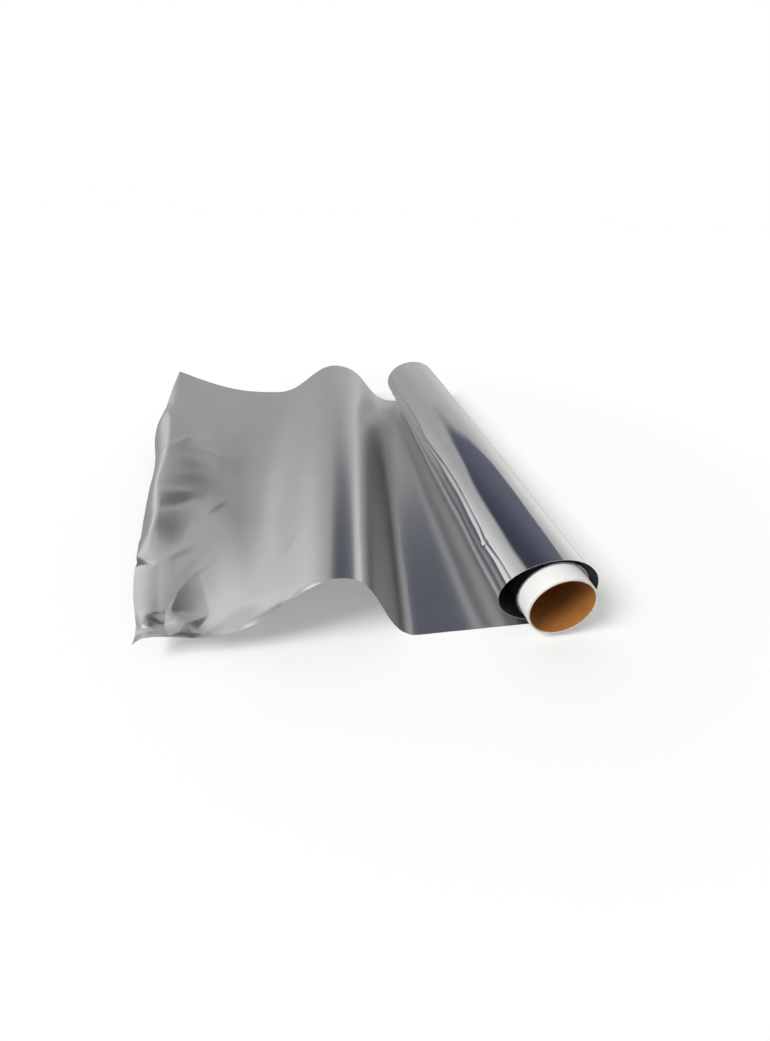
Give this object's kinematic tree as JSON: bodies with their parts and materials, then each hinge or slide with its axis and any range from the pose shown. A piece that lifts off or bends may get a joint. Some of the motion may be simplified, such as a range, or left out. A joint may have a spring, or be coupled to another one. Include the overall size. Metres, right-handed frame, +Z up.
{
  "type": "aluminium foil roll",
  "caption": "Roll of household aluminium foil on a paper core tube, lying on its side, outer turns sprung loose and the free end drawn out in a wave.",
  "frame": {"origin": "on the table, under the core tube's axis, halfway along the foil's width", "axes": "+Y along the core tube away from its bare end, +Z up, the free end towards -X"},
  "size_m": [0.2334, 0.314, 0.0377],
  "materials": {
    "core_paper": "smooth white paper outside, brown board inside",
    "foil": "bright rolled side out, satin side in"
  },
  "bodies": {
    "root": {"core_tube": "core_paper", "foil": "foil"}
  },
  "joints": []
}
